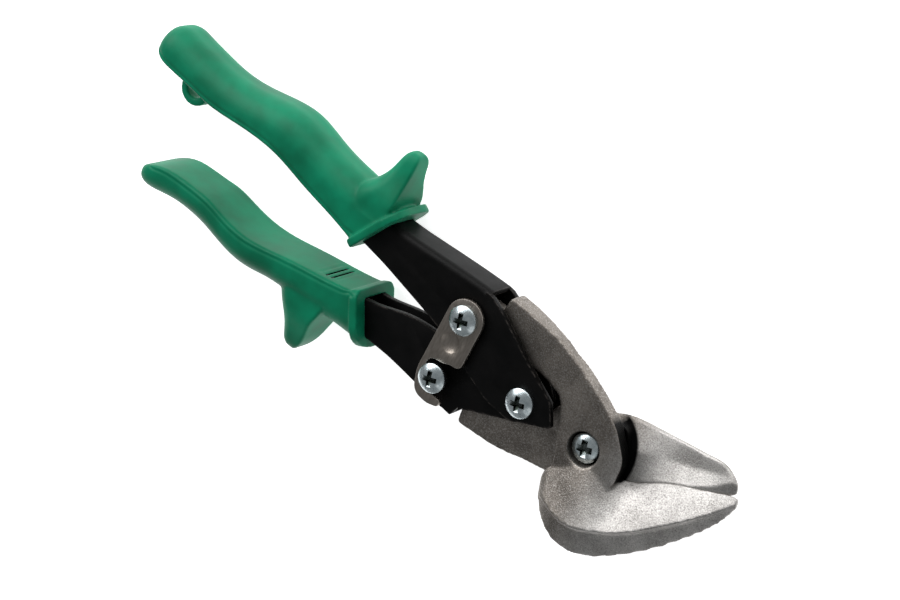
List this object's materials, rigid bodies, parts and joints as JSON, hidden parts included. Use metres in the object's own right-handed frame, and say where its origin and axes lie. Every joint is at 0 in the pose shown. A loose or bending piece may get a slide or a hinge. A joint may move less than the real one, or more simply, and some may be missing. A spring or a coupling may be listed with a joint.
{
  "type": "aviation snips",
  "caption": "Compound-action offset aviation snips: two offset forged jaws, channel handles in a four-bar linkage, moulded grips with guards and a swinging latch.",
  "frame": {"origin": "centre of the bounding box at its bottom face, with the snips lying on their nut side", "axes": "+X along the tool from the grips to the jaw tips, +Y from the lower handle to the upper handle, +Z towards the screw heads; every hinge axis is along Z"},
  "size_m": [0.2364, 0.0806, 0.0234],
  "materials": {
    "forging": "shot-blasted drop forging, nickel-grey, fine grain",
    "zinc_screw": "bright zinc plate",
    "dark_steel": "black oxide",
    "black_paint": "satin black stamped sheet",
    "green_grip": "moulded vinyl with a soft sheen",
    "latch_steel": "brushed stamped plate",
    "spring_steel": "oil-tempered wire"
  },
  "bodies": {
    "lower_blade": {"lower_blade": "forging", "jaw_screw": "zinc_screw", "jaw_washer": "zinc_screw", "jaw_nut": "zinc_screw"},
    "upper_blade": {"upper_blade": "forging"},
    "upper_handle": {"upper_handle": "black_paint", "upper_grip": "green_grip", "handle_screw": "zinc_screw", "handle_nut": "zinc_screw", "handle_spacer": "dark_steel", "upper_tang_screw": "zinc_screw", "upper_tang_nut": "zinc_screw", "latch_washer": "dark_steel", "opening_spring": "spring_steel"},
    "lower_handle": {"lower_handle": "black_paint", "lower_grip": "green_grip", "lower_tang_screw": "zinc_screw", "lower_tang_nut": "zinc_screw", "catch_collar": "dark_steel"},
    "latch": {"latch": "latch_steel"}
  },
  "joints": [
    {"name": "jaw_hinge", "type": "hinge", "parent": "lower_blade", "child": "upper_blade", "pos_m": [0.07061, -0.0013, 0.0112], "axis": [0, 0, 1], "range_deg": [0, 20]},
    {"name": "upper_handle_hinge", "type": "hinge", "parent": "lower_blade", "child": "upper_handle", "pos_m": [0.01941, 0.0097, 0.0112], "axis": [0, 0, -1], "range_deg": [0, 9.6]},
    {"name": "lower_handle_hinge", "type": "hinge", "parent": "upper_blade", "child": "lower_handle", "pos_m": [0.01941, -0.0123, 0.0112], "axis": [0, 0, 1], "range_deg": [0, 9.6]},
    {"name": "latch_hinge", "type": "hinge", "parent": "upper_handle", "child": "latch", "pos_m": [0.01941, 0.0097, 0.0112], "axis": [0, 0, -1], "range_deg": [0, 80.5]}
  ],
  "couplings": [
    {"joint": "upper_handle_hinge", "follows": "jaw_hinge", "ratio": 0.475},
    {"joint": "lower_handle_hinge", "follows": "jaw_hinge", "ratio": 0.475},
    {"joint": "latch_hinge", "follows": "jaw_hinge", "ratio": 4}
  ]
}
